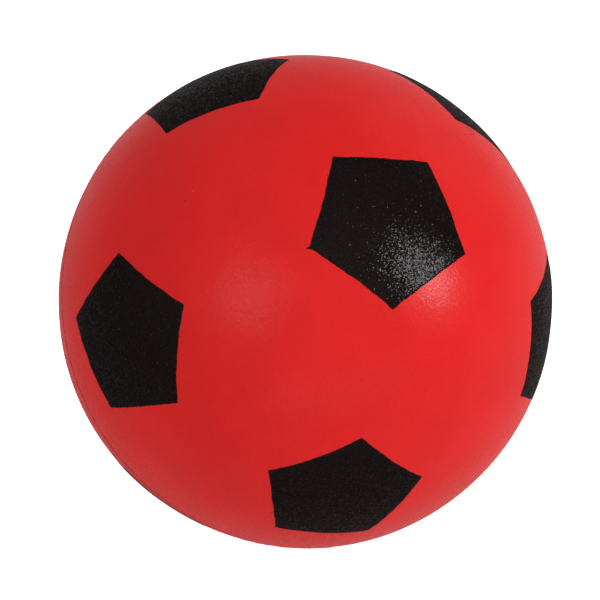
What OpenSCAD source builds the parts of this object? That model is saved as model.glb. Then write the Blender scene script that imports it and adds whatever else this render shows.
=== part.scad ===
// Soft moulded foam ball with a thin skin and the traditional print of twelve black pentagons.
// The ball's centre is the origin and +Z is up. It lies as it was set down, with its mould's axis leaning.

/* [Ball] */
// Diameter over the skin
ball_d = 200; // [180:1:240]
// Thickness of the skin round the foam
skin_t = 1.2; // [0.6:0.1:2.5]
// Clearance that keeps the curved faces of the foam and the paint from cutting into the skin
seat_gap = 0.1; // [0.05:0.05:0.3]

/* [Mould joint] */
// Width of the fine ridge that the mould's joint leaves round the ball
ridge_w = 1.4; // [0.8:0.1:2.4]
// Height of the ridge over the skin
ridge_h = 0.2; // [0.1:0.05:0.5]
// Width of the ridge's flat crest
ridge_crest_w = 0.5; // [0.2:0.1:0.7]

/* [Print] */
// Thickness of the black paint film
film_t = 0.3; // [0.1:0.05:0.6]
// Distance over the skin from a pentagon's centre to its corners
panel_reach = 33; // [26:0.5:35]
// How far each edge of a pentagon bows in at its middle
edge_bow = 0.5; // [0:0.1:1]
// Angle between the print's pole and the mould's axis
print_lean = 8; // [0:0.5:9]
// Direction that the print's pole leans to, seen down the mould's axis
print_lean_to = 154.5; // [-180:0.5:180]
// Turn of the print about its own pole
print_turn = 36.5; // [0:0.5:72]

/* [How the ball lies] */
// Angle between the mould's axis and upright
mould_lean = 36; // [0:1:90]
// Direction that the mould's axis leans to
mould_lean_to = -60; // [-180:1:180]

/* [Hidden] */

ball_r = ball_d / 2;
inner_r = ball_r - skin_t;
film_r = ball_r + seat_gap;

// The twelve panels sit on the corners of an icosahedron: a pole, two rings of five and the far pole
panel_sides = 5;
side_turn = 360 / panel_sides;
ring_polar = atan(2);
far_pole = 2 * panel_sides + 1;

// The front stencil sat a little off its true places. One row a panel: away from the pole and round it
front_slip_shares = [
    [0.025, -0.105],
    [-0.040, -0.105],
    [0.075, 0.065],
    [0.035, -0.090],
    [-0.010, 0.155],
    [-0.060, -0.025]
];
// How much longer or shorter than panel_reach each opening of the front stencil came out
front_growth_shares = [-0.015, 0, -0.010, -0.020, 0, 0];
// How far each opening of the front stencil was turned, in degrees
front_spins = [1, 0.5, 2, 0, 0, 1];

function over_skin(length) = length / ball_r * 180 / PI;
function in_front(i) = i < len(front_spins);
function slip_of(i) = in_front(i) ? front_slip_shares[i] * over_skin(panel_reach) : [0, 0];
function reach_of(i) = panel_reach * (1 + (in_front(i) ? front_growth_shares[i] : 0));
function spin_of(i) = in_front(i) ? front_spins[i] : 0;

function polar_of(i) =
    i == 0 ? 0
    : i <= panel_sides ? ring_polar
    : i < far_pole ? 180 - ring_polar
    : 180;
function azimuth_of(i) =
    i == 0 || i == far_pole ? 0
    : i <= panel_sides ? side_turn * (i - 1)
    : side_turn * (i - panel_sides - 1 + 1 / 2);
// A ring's panels each point a corner at the pole that they are nearer
function facing_of(i) = i >= 1 && i <= panel_sides ? 180 : 0;

module as_it_lies() {
    rotate([0, mould_lean, mould_lean_to]) children();
}

// A ball whose own poles lie on the X axis, clear of a panel on the Z axis
module ball_under_panel(r) {
    rotate([0, 90, 0]) sphere(r = r, $fn = 120);
}

// The side of one panel edge that holds the panel: a block that ends on a plane through both corners
module inside_of_edge(reach) {
    corner_polar = over_skin(reach);
    edge_polar = atan(tan(corner_polar) * cos(side_turn / 2));
    half_edge = asin(sin(corner_polar) * sin(side_turn / 2));
    chord_r = ball_r * cos(half_edge);
    bow_lean = atan(edge_bow / (ball_r - chord_r));
    rotate([0, edge_polar, 0])
        translate([0, 0, chord_r])
            rotate([0, -bow_lean, 0])
                translate([-ball_r, -ball_r, -ball_r])
                    cube([ball_r, ball_d, ball_d]);
}

// One paint film on the Z axis, with a corner towards +X
module panel(reach) {
    intersection() {
        difference() {
            ball_under_panel(film_r + film_t);
            ball_under_panel(film_r);
        }
        intersection_for(k = [0 : panel_sides - 1])
            rotate([0, 0, side_turn * (k + 1 / 2)]) inside_of_edge(reach);
    }
}

module foam_core() {
    color("#c8473f")
        as_it_lies() sphere(r = inner_r - seat_gap, $fn = 180);
}

// The mould joint's ridge. Its flanks run on into the skin, as far down as the crest stands up.
module mould_ridge() {
    foot_half_w = ridge_w - ridge_crest_w / 2;
    rotate_extrude($fn = 180)
        polygon([
            [ball_r - ridge_h, -foot_half_w],
            [ball_r + ridge_h, -ridge_crest_w / 2],
            [ball_r + ridge_h, ridge_crest_w / 2],
            [ball_r - ridge_h, foot_half_w]
        ]);
}

module skin() {
    color("#d52b2b")
        as_it_lies()
            difference() {
                union() {
                    sphere(r = ball_r, $fn = 180);
                    mould_ridge();
                }
                sphere(r = inner_r, $fn = 180);
            }
}

module pentagon(i) {
    slip = slip_of(i);
    color("#1d1a1b")
        as_it_lies()
            rotate([0, print_lean, print_lean_to])
                rotate([0, 0, print_turn])
                    rotate([0, polar_of(i), azimuth_of(i)])
                        rotate([-slip[1], slip[0], 0])
                            rotate([0, 0, facing_of(i) + spin_of(i)])
                                panel(reach_of(i));
}

foam_core();
skin();
pentagon(0);  // pentagon_01
pentagon(1);  // pentagon_02
pentagon(2);  // pentagon_03
pentagon(3);  // pentagon_04
pentagon(4);  // pentagon_05
pentagon(5);  // pentagon_06
pentagon(6);  // pentagon_07
pentagon(7);  // pentagon_08
pentagon(8);  // pentagon_09
pentagon(9);  // pentagon_10
pentagon(10);  // pentagon_11
pentagon(11);  // pentagon_12
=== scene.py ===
# Soft foam ball with a thin red skin and twelve sprayed black pentagons, lying on a pale studio floor.
import math

import bpy
import numpy as np
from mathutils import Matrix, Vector, noise


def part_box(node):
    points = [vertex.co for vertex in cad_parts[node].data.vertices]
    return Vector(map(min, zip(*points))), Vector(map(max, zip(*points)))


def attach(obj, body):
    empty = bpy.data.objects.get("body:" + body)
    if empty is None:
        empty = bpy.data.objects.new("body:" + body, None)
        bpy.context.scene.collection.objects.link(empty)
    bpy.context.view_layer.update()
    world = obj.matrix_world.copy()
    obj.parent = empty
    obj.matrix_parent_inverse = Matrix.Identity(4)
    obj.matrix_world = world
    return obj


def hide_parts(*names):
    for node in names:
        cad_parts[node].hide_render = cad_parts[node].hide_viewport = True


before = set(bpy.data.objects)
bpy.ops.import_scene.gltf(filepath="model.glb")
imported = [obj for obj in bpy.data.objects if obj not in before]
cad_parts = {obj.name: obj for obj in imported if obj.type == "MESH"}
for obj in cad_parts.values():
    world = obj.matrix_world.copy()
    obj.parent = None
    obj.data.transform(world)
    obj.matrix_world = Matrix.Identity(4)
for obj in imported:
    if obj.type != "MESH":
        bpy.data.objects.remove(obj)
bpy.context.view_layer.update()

# Lengths are in metres, as in the frame, and angles in degrees where nothing else is said.
MM = 0.001
SEED = 11

# A random field's waves: how many, and how far their number to a metre strays from the usual, as a share
WAVES = 24
WAVE_SPREAD = 0.3

# The skin's surface: slow lumps all over, and the joint of the two mould halves round the middle
LUMPS = [(150 * MM, 0.10 * MM), (60 * MM, 0.06 * MM), (26 * MM, 0.025 * MM)]  # wavelength, height
SLIP = 0.5 * MM  # how far the lower mould half sat out of line
SLIP_TO = (0.766, 0.492, 0.413)  # the way it slipped, seen as up and to the right by the camera
STEP_W = 0.2 * MM  # width of the step that the slip leaves
RIDGE_H = 0.16 * MM
RIDGE_HALF_W = 0.45 * MM
GROOVE_DEPTH = 0.22 * MM
GROOVE_AT = 0.60 * MM  # over the skin from the joint, on the upper half's side
GROOVE_HALF_W = 0.40 * MM
TORN_EVERY = 4 * MM  # usual length of the stretches where the joint tore or held
TORN_RIDGE = 0.35  # share of the ridge's height that is left where it tore
HELD_GROOVE = 0.4  # share of the groove's depth that is there where it held
TORN_CHANGE = 0.45  # how sharply one kind of stretch turns into the other
CREST_BAND = 0.02 * MM  # the CAD ridge's crest lies this near the skin's largest radius

# The paint films
PANEL_SIDES = 5
FILM_GAP = 0.02 * MM
FILM_T = 0.10 * MM
EDGE_T = 0.03 * MM  # thickness left at the feathered edge
FEATHER_W = 0.9 * MM
EDGE_BOW = 0.17 * MM
CORNER_R = 0.4 * MM
# How the edge strays: wavelength along it, distance
RAGGED = [(9 * MM, 0.09 * MM), (4 * MM, 0.05 * MM), (1.9 * MM, 0.03 * MM)]
TAIL_AT = (0.002, -0.486, 0.874)  # where a little tail of paint at a corner ends, as a direction
TAIL_STEPS = 1.3  # half its width, in steps from point to point of the edge
TAIL_REACH = 4 * MM  # it belongs to the panel that comes this near to its end
SPRAY_AT = (0.651, 0.258, 0.714)  # where a few drops fell beside a panel

# The foam core: its broken cells and the skin's seat round it
CELL = 3.2 * MM
CELL_DEPTH = 0.35 * MM
# Shares of CELL, out from a cell's middle, between which its painted shade turns into its wall's colour
CELL_BAND = (0.1, 0.7)
CORE_GAP = 0.1 * MM  # between the foam and the skin's inner face
FOAM_MOTTLE = 12 * MM
FOAM_GRAIN = 0.8 * MM
FOAM_GRAIN_H = 0.25 * MM

# How fine the meshes are
EDGE_POINTS = 480  # round a film
FEATHER_RINGS = (0, 1 / 6, 4 / 9, 1)  # shares of the feather's width
INNER_RINGS = [  # sizes of the first and last beside the edge, how many, and one edge point of how many
    (0.93, 0.66, 6, 2),
    (0.61, 0.36, 5, 4),
    (0.30, 0.18, 3, 8),
    (0.12, 0.06, 2, 16),
]
# Where the skin has rows beside the joint: distances over the skin
JOINT_ROWS = np.array([0.1, 0.2, 0.35, 0.5, 0.65, 0.8, 1.0, 1.3, 1.8, 2.6]) * MM
SKIN_GRID = (128, 40)  # cells across a cap, and rows between the joint's rows and a cap
SEAT_GRID = (36, 18)
CORE_GRID = (56, 28)
PANEL_REGION = 0.55  # radians from a panel's centre beyond which no skin is measured from its edge
FAR_OFF = 1.0  # stands for any distance from the print that is too far to matter

# Marks on the surfaces. Spots have a spacing, a radius and the share of the places that have one.
MOTTLE = 24 * MM
FINE_MOTTLE = 0.9 * MM
PALE_FLECKS = (7 * MM, 0.32 * MM, 0.22)
# Pin holes: dented, and darkened with painted shade
PIN_HOLES = (11 * MM, 0.34 * MM, 0.18)
HOLE_DEPTH = 0.10 * MM
# Pale specks on the print: painted glints, sparkle painted into the colour
GLINT_SPECKS = (5 * MM, 0.18 * MM, 0.12)
SPARKS = (2.4 * MM, 0.45 * MM, 0.5)
SPARK_H = 0.06 * MM
SPOT_LEAST = 0.55  # the smallest spot's radius, as a share of the usual one
SPOT_MORE = 0.9  # how much more the largest has
SPOT_EDGE = 0.25  # half the width of a spot's soft edge, as a share of the usual radius
GROOVE_LINE = (0.25 * MM, 0.6 * MM)  # from the groove's middle: where its painted shade starts to fade, and its end
GROOVE_SPECKLE = 2.2 * MM
GROOVE_LEAST = 0.4  # how strong the groove's painted shade is between the speckles, as a share
RIDGE_LINE = (0.2 * MM, 0.5 * MM)  # from the joint: where the pale crumbs start to fade, and their end
CRUMB = 1.3 * MM
MIST = (0.8 * MM, 0.16 * MM)  # spacing and radius of the finest drops, beside every film
MIST_REACH = 2.5 * MM
MIST_SHARE = 0.30  # share of the places that have one, right beside a film
DROPS = (1.3 * MM, 0.45 * MM)
DROPS_REACH = (1.5 * MM, 5 * MM)  # from SPRAY_AT: where they start to thin out, and their end
DROPS_SHARE = 0.8

# The noise values between which each kind of mark comes in
MOTTLE_BAND = (0.3, 0.7)
FINE_BAND = (0.25, 0.75)
SPECKLE_BAND = (0.38, 0.62)
CRUMB_BAND = (0.56, 0.66)
PATCH_BAND = (0.40, 0.62)

# The skin's fine grain, which the print has too
PEBBLE = 1.1 * MM  # spacing of its domes
GRIT = 0.7 * MM  # width of the finer grit on them
SWELL = 5 * MM  # width of the soft unevenness under the grain
SWELL_H = 0.10 * MM
PATCH = 0.7 * MM  # size of the patches that are duller or shinier than the others
FACET = 0.42 * MM  # size of the grains that each face their own way
SPARKLES = 0.09  # share of the grains that are turned further than the others
SPARKLE_TURN = 4.5  # how many times further, at most
SHUFFLE = 37  # draws a second random number from a grain's first
SKIN_TILT = 0.035  # how far the grains turn: twice the largest turn of most of them, in radians
PAINT_TILT = 0.20
FOAM_TILT = 0.1
SKIN_PEBBLE = (0.02, 0.04 * MM)  # slope of the domes, height of the grit
PAINT_PEBBLE = (0.03, 0.03 * MM)

# Gloss: in the dull and the shiny patches, and the power by which it fades towards the ball's edge
SKIN_ROUGHNESS = (0.32, 0.24)
SKIN_GLOSS = (0.20, 0.25)
SKIN_FADE = 1.3
PAINT_ROUGHNESS = (0.13, 0.10)
PAINT_GLOSS = (0.12, 0.26)
PAINT_FADE = 3.1

# Colours
DEEP_RED = (0.730, 0.0095, 0.0091, 1)
BRIGHT_RED = (0.780, 0.0115, 0.0109, 1)
FINE_RED = (0.83, 0.029, 0.027, 1)
FLECK_RED = (0.80, 0.20, 0.17, 1)
# Painted shade inside the pin holes
HOLE_SHADE_RED = (0.16, 0.008, 0.008, 1)
# Painted shade in the joint's groove
GROOVE_SHADE_RED = (0.11, 0.010, 0.010, 1)
CRUMB_RED = (0.80, 0.16, 0.15, 1)
STRAY_PAINT = (0.020, 0.010, 0.010, 1)
DULL_BLACK = (0.0060, 0.0018, 0.0015, 1)
SHINY_BLACK = (0.0034, 0.0002, 0.0001, 1)
# The colour of the painted glints, the pale specks on the print
GLINT_GREY = (0.10, 0.085, 0.08, 1)
# Painted shade in the foam's open cells
CELL_SHADE_RED = (0.22, 0.03, 0.025, 1)
WALL_RED = (0.58, 0.12, 0.09, 1)
PALE_WALL_RED = (0.50, 0.16, 0.12, 1)
FLOOR_TONES = (0.80, 0.80, 0.80, 1), (0.82, 0.82, 0.82, 1)
WHITE = (1, 1, 1, 1)

# The camera, as the photograph shows the ball
IMAGE_PX = 600
BALL_RADIUS_PX = 247.3
BALL_CENTRE_PX = (304.97, 301.34)
CAMERA_DISTANCE = 0.85
CAMERA_ELEVATION = 50
SENSOR_MM = 36

# The light
SURROUND = 0.57
FLOOR_WHITE = 0.9  # how much more than it is lit the floor shows to the lens
FLOOR_HALF_W = 3.0
FLOOR_MOTTLE = 0.3
SOFTBOXES = [  # name, azimuth, elevation, distance, width, height, watts
    ("softbox_right", 74.6, 34.4, 1.3, 0.2, 0.55, 6.3),
    ("softbox_left", -36.4, 46.2, 1.3, 0.56, 0.56, 1.65),
    ("softbox_back_right", 140, 20, 1.5, 1.2, 0.8, 0.9),
    ("softbox_low", 15, 8, 1.6, 2.0, 0.4, 1.3),
]

BALL_R = -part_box("skin")[0].z
CORE_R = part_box("foam_core")[1].z
PANEL_NAMES = sorted(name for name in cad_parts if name.startswith("pentagon"))


def unit(v):
    return v / np.linalg.norm(v, axis=-1, keepdims=True)


def points_of(node):
    """The corners of a CAD node's faces, one row each."""
    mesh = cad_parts[node].data
    places = np.zeros(len(mesh.vertices) * 3)
    mesh.vertices.foreach_get("co", places)
    return places.reshape(-1, 3)


def mould_directions():
    """Three directions at right angles. The last is the mould's axis, square to the CAD ridge's crest."""
    places = points_of("skin")
    radii = np.linalg.norm(places, axis=1)
    crest = places[radii > radii.max() - CREST_BAND]
    _, _, across = np.linalg.svd(crest, full_matrices=False)
    axis = across[2] * np.sign(across[2, 2])
    side = unit(np.cross((0.0, 0.0, 1.0), axis))
    return np.array([side, np.cross(axis, side), axis])


MOULD = mould_directions()


class Waves:
    """A smooth random field: many cosines in random directions, of about one wavelength."""

    def __init__(self, wavelength, height, seed):
        rng = np.random.default_rng(seed)
        turns = 2 * math.pi / wavelength * rng.uniform(1 - WAVE_SPREAD, 1 + WAVE_SPREAD, (WAVES, 1))
        self.vectors = unit(rng.normal(size=(WAVES, 3))) * turns
        self.phases = rng.uniform(0, 2 * math.pi, WAVES)
        self.height = height * math.sqrt(2 / WAVES)

    def at(self, places):
        return self.height * np.cos(places @ self.vectors.T + self.phases).sum(1)


LUMP_FIELDS = [Waves(length, height, SEED + i) for i, (length, height) in enumerate(LUMPS)]
TORN_FIELD = Waves(TORN_EVERY, 1, SEED + 10)


def smooth_step(x):
    t = np.clip(x, 0, 1)
    return t * t * (3 - 2 * t)


def hump(x, half_w):
    return np.exp(-((x / half_w) ** 2))


def relief(directions):
    """How far the skin stands above the true ball in these directions."""
    places = directions * BALL_R
    height = sum(field.at(places) for field in LUMP_FIELDS)
    beside = np.arcsin(np.clip(directions @ MOULD[2], -1, 1)) * BALL_R
    slip = SLIP * directions @ unit(np.array(SLIP_TO))
    height += slip * smooth_step(0.5 - beside / STEP_W)
    held = smooth_step(0.5 + TORN_CHANGE * TORN_FIELD.at(places))
    height += RIDGE_H * (TORN_RIDGE + (1 - TORN_RIDGE) * held) * hump(beside, RIDGE_HALF_W)
    height -= GROOVE_DEPTH * (1 - (1 - HELD_GROOVE) * held) * hump(beside - GROOVE_AT, GROOVE_HALF_W)
    return height


def make_object(name, places, faces):
    mesh = bpy.data.meshes.new(name)
    mesh.from_pydata(places.tolist(), [], faces)
    mesh.polygons.foreach_set("use_smooth", np.ones(len(mesh.polygons), bool))
    mesh.update()
    made = bpy.data.objects.new(name, mesh)
    bpy.context.scene.collection.objects.link(made)
    return made


def between_rows(upper, lower):
    """Quads between two closed rows of as many points, seen from outside with the first row on top."""
    return np.stack([lower, np.roll(lower, -1), np.roll(upper, -1), upper], 1).tolist()


def ball_grid(near_rows, cells, far_rows):
    """Directions and faces of a ball of quads with no poles: two square caps and a band between them.

    near_rows are the angles in radians, from the middle plane up, of the band's rows that lie close to it.
    cells is how many quads lie across a cap, and far_rows how many rows between near_rows and each cap.
    """
    edge = np.tan(np.linspace(-math.pi / 4, math.pi / 4, cells + 1))
    x, y = (grid.ravel() for grid in np.meshgrid(edge, edge, indexing="ij"))
    cap = unit(np.stack([x, y, np.ones_like(x)], 1))
    along = np.arange(cells)
    i = np.concatenate([along, np.full(cells, cells), cells - along, np.zeros(cells, int)])
    rim = i * (cells + 1) + np.roll(i, cells)

    rim_angle = np.arcsin(cap[rim, 2])
    turn = np.arctan2(cap[rim, 1], cap[rim, 0])
    last = near_rows[-1] if len(near_rows) else 0.0
    shares = np.arange(far_rows - 1, 0, -1) / far_rows
    above = [last + (rim_angle - last) * share for share in shares]
    above += [np.full(len(rim), row) for row in near_rows[::-1]]
    angles = np.array(above + [np.zeros(len(rim))] + [-row for row in above[::-1]])
    band = np.stack([np.cos(angles) * np.cos(turn), np.cos(angles) * np.sin(turn), np.sin(angles)], 2)

    rows = len(cap) + np.arange(angles.size).reshape(angles.shape)
    below = len(cap) + angles.size
    quad = (np.arange(cells)[:, None] * (cells + 1) + np.arange(cells)).ravel()
    square = np.stack([quad, quad + cells + 1, quad + cells + 2, quad + 1], 1)
    faces = square.tolist() + (square[:, ::-1] + below).tolist()
    steps = [rim, *rows, rim + below]
    for upper, lower in zip(steps, steps[1:]):
        faces += between_rows(upper, lower)
    return np.concatenate([cap, band.reshape(-1, 3), cap * (1, 1, -1)]), faces


class Panel:
    """Where one CAD paint film lies: its centre, and on a flat map round that its corners and painted edge.

    The map keeps each point's true distance over the skin from the centre, and its bearing.
    """

    def __init__(self, name):
        self.name = name
        self.rng = np.random.default_rng([SEED, PANEL_NAMES.index(name)])
        found = unit(points_of(name))
        centre = unit(found.mean(0))
        reach = np.arccos(found @ centre)
        self.face(centre, found[reach.argmax()])
        bearing = np.arctan2(found @ self.across, found @ self.along)
        # The furthest point in each fifth is a corner, and the corners' middle is the true centre
        corners = []
        for k in range(PANEL_SIDES):
            off = np.angle(np.exp(1j * (bearing - 2 * math.pi * k / PANEL_SIDES)))
            corners.append(found[np.where(abs(off) < math.pi / PANEL_SIDES, reach, 0).argmax()])
        self.face(unit(np.sum(corners, 0)), corners[0])
        self.corners = self.to_map(np.array(corners))
        self.edge = self.painted_edge(EDGE_POINTS)

    def face(self, centre, towards):
        self.centre = centre
        self.along = unit(towards - centre * (towards @ centre))
        self.across = np.cross(centre, self.along)

    def to_map(self, directions):
        angle = np.arccos(np.clip(directions @ self.centre, -1, 1))
        flat = np.stack([directions @ self.along, directions @ self.across], 1)
        return flat * (BALL_R / np.sinc(angle / math.pi))[:, None]

    def from_map(self, flat):
        angle = np.linalg.norm(flat, axis=1, keepdims=True) / BALL_R
        sideways = flat[:, :1] * self.along + flat[:, 1:] * self.across
        return unit(np.cos(angle) * self.centre + np.sinc(angle / math.pi) / BALL_R * sideways)

    def painted_edge(self, points):
        """The film's edge on the map: bowed sides, rounded corners and the stray of sprayed paint."""
        share = np.arange(points // PANEL_SIDES)[:, None] * PANEL_SIDES / points
        inwards = EDGE_BOW * 4 * share * (1 - share)
        sides = []
        for start, end in zip(self.corners, np.roll(self.corners, -1, 0)):
            middle = (start + end) / 2
            sides.append(start + (end - start) * share - inwards * unit(middle))
        edge = np.concatenate(sides)
        step = np.linalg.norm(edge[1] - edge[0])
        # A mean over the neighbours rounds the corners
        reach = round(CORNER_R / step)
        edge = np.mean([np.roll(edge, k, 0) for k in range(-reach, reach + 1)], 0)
        edge = self.with_tail(edge)
        # The stray follows a circle as long as the edge, so that its end meets its start
        turn = np.exp(2j * math.pi * np.arange(points) / points)
        ring = np.stack([turn.real, turn.imag, np.zeros(points)], 1) * (points * step) / (2 * math.pi)
        stray = sum(Waves(length, far, self.rng.integers(1 << 30)).at(ring) for length, far in RAGGED)
        return edge * (1 + stray / np.linalg.norm(edge, axis=1))[:, None]

    def with_tail(self, edge):
        """The edge with the little tail of paint, if that is this panel's."""
        end = self.to_map(np.array([TAIL_AT]))[0]
        apart = np.linalg.norm(edge - end, axis=1)
        nearest = apart.argmin()
        if apart[nearest] > TAIL_REACH:
            return edge
        steps = (np.arange(len(edge)) - nearest + len(edge) // 2) % len(edge) - len(edge) // 2
        return edge + hump(steps, TAIL_STEPS)[:, None] * (end - edge[nearest])

    def holds(self, flat):
        """Whether each place on the map lies inside the film's edge."""
        edge_bearing = np.arctan2(self.edge[:, 1], self.edge[:, 0])
        edge_reach = np.linalg.norm(self.edge, axis=1)
        bearing = np.arctan2(flat[:, 1], flat[:, 0])
        limit = np.interp(bearing, edge_bearing, edge_reach, period=2 * math.pi)
        return np.linalg.norm(flat, axis=1) < limit


PANELS = [Panel(name) for name in PANEL_NAMES]


def film_rings(apothem):
    """Each ring of a film's mesh: its size beside the edge, and how many edge points it keeps one of."""
    rings = [(1 - share * FEATHER_W / apothem, 1) for share in FEATHER_RINGS]
    for outer, inner, count, every in INNER_RINGS:
        rings += [(size, every) for size in np.linspace(outer, inner, count)]
    return rings


def inwards_faces(outer, inner):
    """Faces between a ring and the next one in, which has as many points or half as many."""
    after = np.roll(inner, -1)
    if len(outer) == len(inner):
        return np.stack([outer, np.roll(outer, -1), after, inner], 1).tolist()
    first, middle = outer[::2], outer[1::2]
    parts = [(first, middle, inner), (middle, after, inner), (middle, np.roll(first, -1), after)]
    return [face for part in parts for face in np.stack(part, 1).tolist()]


def make_film(panel, material):
    """One paint film: a thin shell over the skin's relief, thinner towards its feathered edge."""
    apothem = np.linalg.norm(panel.corners[0]) * math.cos(math.pi / PANEL_SIDES)
    flat, rings, sizes, first = [], [], [], 0
    for size, every in film_rings(apothem):
        ring = panel.edge[::every] * size
        flat.append(ring)
        rings.append(np.arange(first, first + len(ring)))
        sizes += [size] * len(ring)
        first += len(ring)
    flat = np.concatenate(flat + [np.zeros((1, 2))])
    faces = [face for pair in zip(rings, rings[1:]) for face in inwards_faces(*pair)]
    hub = np.full(len(rings[-1]), first)
    faces += np.stack([rings[-1], np.roll(rings[-1], -1), hub], 1).tolist()

    directions = panel.from_map(flat)
    skin = BALL_R + relief(directions)
    from_edge = (1 - np.array(sizes + [0])) * apothem
    thick = EDGE_T + (FILM_T - EDGE_T) * smooth_step(from_edge / FEATHER_W) ** 0.5
    top = directions * (skin + FILM_GAP + thick)[:, None]
    bottom = directions * (skin + FILM_GAP)[:, None]
    count = len(flat)
    faces += [[corner + count for corner in face[::-1]] for face in faces]
    faces += between_rows(rings[0], rings[0] + count)
    film = make_object(panel.name + "_paint", np.concatenate([top, bottom]), faces)
    film.data.materials.append(material)
    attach(film, "root")
    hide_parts(panel.name)


def from_print(directions):
    """Distance over the skin from each direction to the nearest film's edge, below zero under a film."""
    least = np.full(len(directions), FAR_OFF)
    for panel in PANELS:
        near = np.flatnonzero(directions @ panel.centre > math.cos(PANEL_REGION))
        flat = panel.to_map(directions[near])
        gap = np.array([np.linalg.norm(panel.edge - place, axis=1).min() for place in flat])
        least[near] = np.minimum(least[near], np.where(panel.holds(flat), -gap, gap))
    return least


def make_skin(material):
    """The skin: its outer face with the mould's joint, and the smooth inner face against the foam."""
    directions, faces = ball_grid(JOINT_ROWS / BALL_R, *SKIN_GRID)
    directions = directions @ MOULD
    outer = directions * (BALL_R + relief(directions))[:, None]
    inner_directions, inner_faces = ball_grid([], *SEAT_GRID)
    inner = inner_directions @ MOULD * (CORE_R + CORE_GAP)
    faces += [[corner + len(outer) for corner in face[::-1]] for face in inner_faces]
    skin = make_object("ball_skin", np.concatenate([outer, inner]), faces)
    gap = np.concatenate([from_print(directions), np.full(len(inner), FAR_OFF)])
    skin.data.attributes.new("print_gap", "FLOAT", "POINT").data.foreach_set("value", gap)
    skin.data.materials.append(material)
    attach(skin, "root")
    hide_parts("skin")


def make_core(material):
    """The foam core, with the broken cells that a block of sponge shows where its skin is taken off."""
    directions, faces = ball_grid([], *CORE_GRID)
    directions = directions @ MOULD
    depth = []
    for direction in directions:
        near, _ = noise.voronoi(Vector(direction) * (BALL_R / CELL))
        depth.append(CELL_DEPTH * (1 - min(near[0], 1.0)))
    core = make_object("foam_core_body", directions * (CORE_R - np.array(depth))[:, None], faces)
    core.data.materials.append(material)
    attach(core, "root")
    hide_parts("foam_core")


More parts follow.
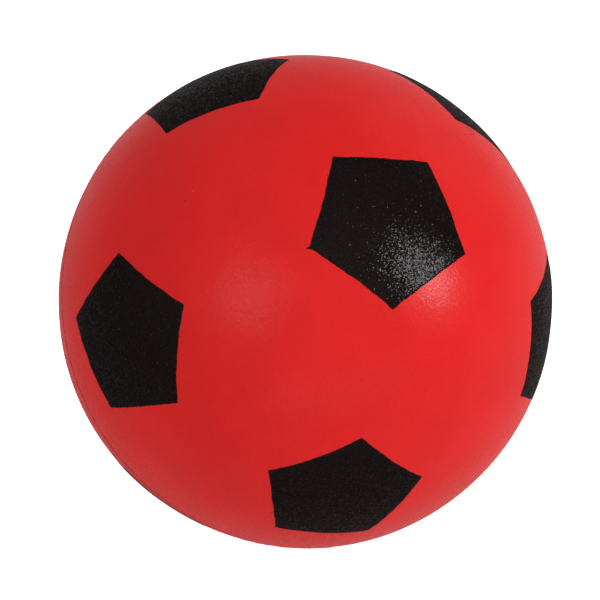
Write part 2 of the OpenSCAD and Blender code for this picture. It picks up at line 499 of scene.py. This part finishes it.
class Material:
    """One material's nodes. add() makes a node, sets or links its inputs and returns one of its outputs."""

    def __init__(self, name):
        self.data = bpy.data.materials.new(name)
        self.data.use_nodes = True
        self.tree = self.data.node_tree
        self.shader = self.tree.nodes["Principled BSDF"]

    def put(self, socket, value):
        if isinstance(value, bpy.types.NodeSocket):
            self.tree.links.new(value, socket)
        else:
            socket.default_value = value

    def add(self, kind, inputs=None, output=0, **settings):
        node = self.tree.nodes.new("ShaderNode" + kind)
        for key, value in settings.items():
            setattr(node, key, value)
        for key, value in (inputs or {}).items():
            self.put(node.inputs[key], value)
        return node.outputs[output]

    def place(self):
        return self.add("TexCoord", output="Object")

    def math(self, operation, a, b=0.0):
        return self.add("Math", {0: a, 1: b}, operation=operation)

    def noise(self, feature, detail=2):
        """Noise with features of about that size, from 0 to 1 about a middle of 0.5."""
        return self.add("TexNoise", {"Vector": self.place(), "Scale": 1 / feature, "Detail": detail})

    def ramp(self, value, start, end, low=0.0, high=1.0):
        """low where value is at start, high where it is at end, and smooth between them."""
        inputs = {"Value": value, "From Min": start, "From Max": end, "To Min": low, "To Max": high}
        return self.add("MapRange", inputs, interpolation_type="SMOOTHSTEP")

    def spots(self, spacing, radius, share):
        """1 in round spots about spacing apart, in that share of the places. share may be a socket."""
        inputs = {"Vector": self.place(), "Scale": 1 / spacing}
        distance = self.add("TexVoronoi", inputs, output="Distance")
        colour = self.add("TexVoronoi", inputs, output="Color")
        chance = self.add("SeparateColor", {"Color": colour}, output="Red")
        size = self.add("SeparateColor", {"Color": colour}, output="Green")
        share_of_radius = self.math("ADD", self.math("MULTIPLY", size, SPOT_MORE), SPOT_LEAST)
        edge = self.math("MULTIPLY", share_of_radius, radius / spacing)
        inside = self.math("SUBTRACT", edge, distance)
        soft = SPOT_EDGE * radius / spacing
        dot = self.ramp(inside, -soft, soft)
        return self.math("MULTIPLY", dot, self.math("LESS_THAN", chance, share))

    def mix(self, factor, a, b):
        node = self.tree.nodes.new("ShaderNodeMix")
        node.data_type = "RGBA"
        for socket, value in zip((node.inputs[0], node.inputs[6], node.inputs[7]), (factor, a, b)):
            self.put(socket, value)
        return node.outputs[2]

    def tint(self, colour, mask, other, strength):
        """The colour with that much of the other in it where the mask is 1."""
        return self.mix(self.math("MULTIPLY", mask, strength), colour, other)

    def fading_gloss(self, level, power):
        """A specular level that fades where the surface turns away from the eye. level may be a socket."""
        turned = self.add("LayerWeight", {"Blend": 0.5}, output="Facing")
        facing = self.math("SUBTRACT", 1, turned)
        return self.math("MULTIPLY", self.math("POWER", facing, power), level)

    def patches(self, dull, shiny):
        """The first value in some small patches of the surface and the second in the others."""
        return self.ramp(self.noise(PATCH, detail=1), *PATCH_BAND, dull, shiny)

    def pebble(self, slope, grit):
        """The moulded skin's grain as a height: domes of that slope, and finer grit of that height."""
        domes = self.add("TexVoronoi", {"Vector": self.place(), "Scale": 1 / PEBBLE}, output="Distance")
        height = self.math("MULTIPLY", domes, -PEBBLE * slope)
        height = self.math("ADD", height, self.math("MULTIPLY", self.noise(GRIT), grit))
        return self.math("ADD", height, self.math("MULTIPLY", self.noise(SWELL), SWELL_H))

    def facets(self, tilt):
        """The surface's normal, with most grains turned their own way, by up to about tilt / 2 radians."""
        own = self.add("TexVoronoi", {"Vector": self.place(), "Scale": 1 / FACET}, output="Color")
        first = self.add("SeparateColor", {"Color": own}, output="Red")
        luck = self.math("FRACT", self.math("MULTIPLY", first, SHUFFLE))
        scale = self.ramp(luck, 1 - SPARKLES, 1, tilt, tilt * SPARKLE_TURN)
        centred = self.add("VectorMath", {0: own, 1: (0.5, 0.5, 0.5)}, operation="SUBTRACT")
        turned = self.add("VectorMath", {0: centred, "Scale": scale}, operation="SCALE")
        normal = self.add("NewGeometry", output="Normal")
        together = self.add("VectorMath", {0: normal, 1: turned}, operation="ADD")
        return self.add("VectorMath", {0: together}, operation="NORMALIZE")

    def bump(self, height, tilt):
        """The normal of a surface of this height in metres, whose grains are turned by that tilt."""
        inputs = {"Height": height, "Distance": 1.0, "Strength": 1.0, "Normal": self.facets(tilt)}
        return self.add("Bump", inputs)

    def finish(self, **inputs):
        for key, value in inputs.items():
            self.put(self.shader.inputs[key.replace("_", " ")], value)
        return self.data


def with_joint(m, colour):
    """The skin's colour with painted shade darkening the joint's groove in speckles, and the pale crumbs on
    its ridge.
    """
    axis = tuple(float(a) for a in MOULD[2])
    beside = m.add("VectorMath", {0: m.place(), 1: axis}, output="Value", operation="DOT_PRODUCT")
    off_groove = m.math("ABSOLUTE", m.math("SUBTRACT", beside, GROOVE_AT))
    groove = m.ramp(off_groove, *GROOVE_LINE, 1, 0)
    shade_speckle = m.ramp(m.noise(GROOVE_SPECKLE), *SPECKLE_BAND, low=GROOVE_LEAST)
    # Painted shade along the groove, in speckles
    colour = m.tint(colour, m.math("MULTIPLY", groove, shade_speckle), GROOVE_SHADE_RED, strength=0.75)
    ridge = m.ramp(m.math("ABSOLUTE", beside), *RIDGE_LINE, 1, 0)
    crumbs = m.ramp(m.noise(CRUMB), *CRUMB_BAND)
    return m.tint(colour, m.math("MULTIPLY", ridge, crumbs), CRUMB_RED, strength=0.5)


def with_stray_paint(m, colour):
    """The skin's colour with the mist beside every film and the few drops beside one of them."""
    gap = m.add("Attribute", output="Fac", attribute_name="print_gap")
    mist = m.spots(*MIST, m.ramp(gap, 0, MIST_REACH, MIST_SHARE, 0))
    middle = tuple(BALL_R * part for part in SPRAY_AT)
    beyond = m.add("VectorMath", {0: m.place(), 1: middle}, output="Value", operation="DISTANCE")
    drops = m.spots(*DROPS, m.ramp(beyond, *DROPS_REACH, DROPS_SHARE, 0))
    return m.tint(colour, m.math("MAXIMUM", drops, mist), STRAY_PAINT, strength=0.8)


def red_skin():
    """The moulded skin: saturated red, a fine pebble, faint mottling, pin holes with painted shade in them,
    and the mould's joint with painted shade along its groove.
    """
    m = Material("red_foam_skin")
    colour = m.mix(m.ramp(m.noise(MOTTLE, detail=3), *MOTTLE_BAND), DEEP_RED, BRIGHT_RED)
    colour = m.tint(colour, m.ramp(m.noise(FINE_MOTTLE), *FINE_BAND), FINE_RED, strength=0.10)
    colour = m.tint(colour, m.spots(*PALE_FLECKS), FLECK_RED, strength=0.30)
    holes = m.spots(*PIN_HOLES)
    # Darker inside the pin holes: painted shade in the hollows
    colour = m.tint(colour, holes, HOLE_SHADE_RED, strength=0.6)
    colour = with_stray_paint(m, with_joint(m, colour))
    height = m.pebble(*SKIN_PEBBLE)
    height = m.math("SUBTRACT", height, m.math("MULTIPLY", holes, HOLE_DEPTH))
    return m.finish(
        Base_Color=colour,
        Roughness=m.patches(*SKIN_ROUGHNESS),
        Normal=m.bump(height, SKIN_TILT),
        Specular_IOR_Level=m.fading_gloss(m.patches(*SKIN_GLOSS), SKIN_FADE),
        Sheen_Weight=0.03,
        Sheen_Roughness=0.25,
        Sheen_Tint=(1.0, 0.95, 0.95, 1),
    )


def black_print():
    """The sprayed paint: near black, semi-matt, with the skin's pebble, a sparkling dry grain and pale
    specks of painted glint.
    """
    m = Material("black_spray_paint")
    colour = m.mix(m.patches(0, 1), DULL_BLACK, SHINY_BLACK)
    # Pale specks: painted glints on the print's colour
    colour = m.tint(colour, m.spots(*GLINT_SPECKS), GLINT_GREY, strength=0.5)
    sparks = m.math("MULTIPLY", m.spots(*SPARKS), SPARK_H)
    height = m.math("ADD", m.pebble(*PAINT_PEBBLE), sparks)
    return m.finish(
        Base_Color=colour,
        Roughness=m.patches(*PAINT_ROUGHNESS),
        Normal=m.bump(height, PAINT_TILT),
        Specular_IOR_Level=m.fading_gloss(m.patches(*PAINT_GLOSS), PAINT_FADE),
        Sheen_Weight=0.02,
        Sheen_Roughness=0.25,
    )


def foam_sponge():
    """The sponge under the skin: dull red, with painted shade darkening its open cells."""
    m = Material("red_foam_sponge")
    cells = m.add("TexVoronoi", {"Vector": m.place(), "Scale": 1 / CELL}, output="Distance")
    # Darker cell middles: painted shade in the open cells' hollows
    colour = m.mix(m.ramp(cells, *CELL_BAND), CELL_SHADE_RED, WALL_RED)
    colour = m.tint(colour, m.ramp(m.noise(FOAM_MOTTLE), *MOTTLE_BAND), PALE_WALL_RED, strength=0.3)
    fine = m.math("MULTIPLY", m.noise(FOAM_GRAIN, detail=3), FOAM_GRAIN_H)
    return m.finish(
        Base_Color=colour, Roughness=0.9, Normal=m.bump(fine, FOAM_TILT), Specular_IOR_Level=0.2
    )


def pale_floor():
    """A matt floor that the lens overexposes to white, as a studio's is, without lighting the ball more."""
    m = Material("pale_floor")
    seen = m.add("LightPath", output="Is Camera Ray")
    return m.finish(
        Base_Color=m.mix(m.noise(FLOOR_MOTTLE, detail=3), *FLOOR_TONES),
        Roughness=0.8,
        Specular_IOR_Level=0.1,
        Emission_Color=WHITE,
        Emission_Strength=m.math("MULTIPLY", seen, FLOOR_WHITE),
    )


def make_floor():
    corners = np.array([(-1, -1, 0), (1, -1, 0), (1, 1, 0), (-1, 1, 0)]) * FLOOR_HALF_W
    floor = make_object("floor", corners + (0, 0, -BALL_R), [(0, 1, 2, 3)])
    floor.data.materials.append(pale_floor())


def add_softbox(name, azimuth, elevation, distance, width, height, watts):
    """A soft rectangular light in that direction from the ball, facing it. Azimuth 0 is the camera's."""
    light = bpy.data.lights.new(name, "AREA")
    light.shape = "RECTANGLE"
    light.size, light.size_y, light.energy = width, height, watts
    box = bpy.data.objects.new(name, light)
    around, lift = math.radians(azimuth), math.radians(elevation)
    level = Vector((math.sin(around), -math.cos(around), 0))
    direction = level * math.cos(lift) + Vector((0, 0, math.sin(lift)))
    box.location = direction * distance
    box.rotation_euler = direction.to_track_quat("Z", "Y").to_euler()
    bpy.context.scene.collection.objects.link(box)


def light_scene():
    """A dim even surround that looks white where the camera sees past the floor, and the softboxes."""
    world = bpy.data.worlds.new("white_studio")
    world.use_nodes = True
    nodes, links = world.node_tree.nodes, world.node_tree.links
    seen = nodes.new("ShaderNodeLightPath")
    strength = nodes.new("ShaderNodeMapRange")
    links.new(seen.outputs["Is Camera Ray"], strength.inputs["Value"])
    strength.inputs["To Min"].default_value = SURROUND
    strength.inputs["To Max"].default_value = 1.0
    nodes["Background"].inputs["Color"].default_value = WHITE
    links.new(strength.outputs[0], nodes["Background"].inputs["Strength"])
    bpy.context.scene.world = world
    for softbox in SOFTBOXES:
        add_softbox(*softbox)


def add_camera():
    """The photograph's view: from above the front, with the ball where the photograph has it."""
    data = bpy.data.cameras.new("camera")
    radii = CAMERA_DISTANCE / BALL_R
    data.sensor_width = SENSOR_MM
    data.lens = SENSOR_MM / IMAGE_PX * BALL_RADIUS_PX * math.sqrt(radii**2 - 1)
    data.shift_x = (IMAGE_PX / 2 - BALL_CENTRE_PX[0]) / IMAGE_PX
    data.shift_y = (BALL_CENTRE_PX[1] - IMAGE_PX / 2) / IMAGE_PX
    lift = math.radians(CAMERA_ELEVATION)
    back = Vector((0, -math.cos(lift), math.sin(lift)))
    camera = bpy.data.objects.new("camera", data)
    camera.location = back * CAMERA_DISTANCE
    camera.rotation_euler = back.to_track_quat("Z", "Y").to_euler()
    bpy.context.scene.collection.objects.link(camera)
    bpy.context.scene.camera = camera


print_material = black_print()
for panel in PANELS:
    make_film(panel, print_material)
make_skin(red_skin())
make_core(foam_sponge())
make_floor()
light_scene()
add_camera()
bpy.context.scene.view_settings.view_transform = "Standard"
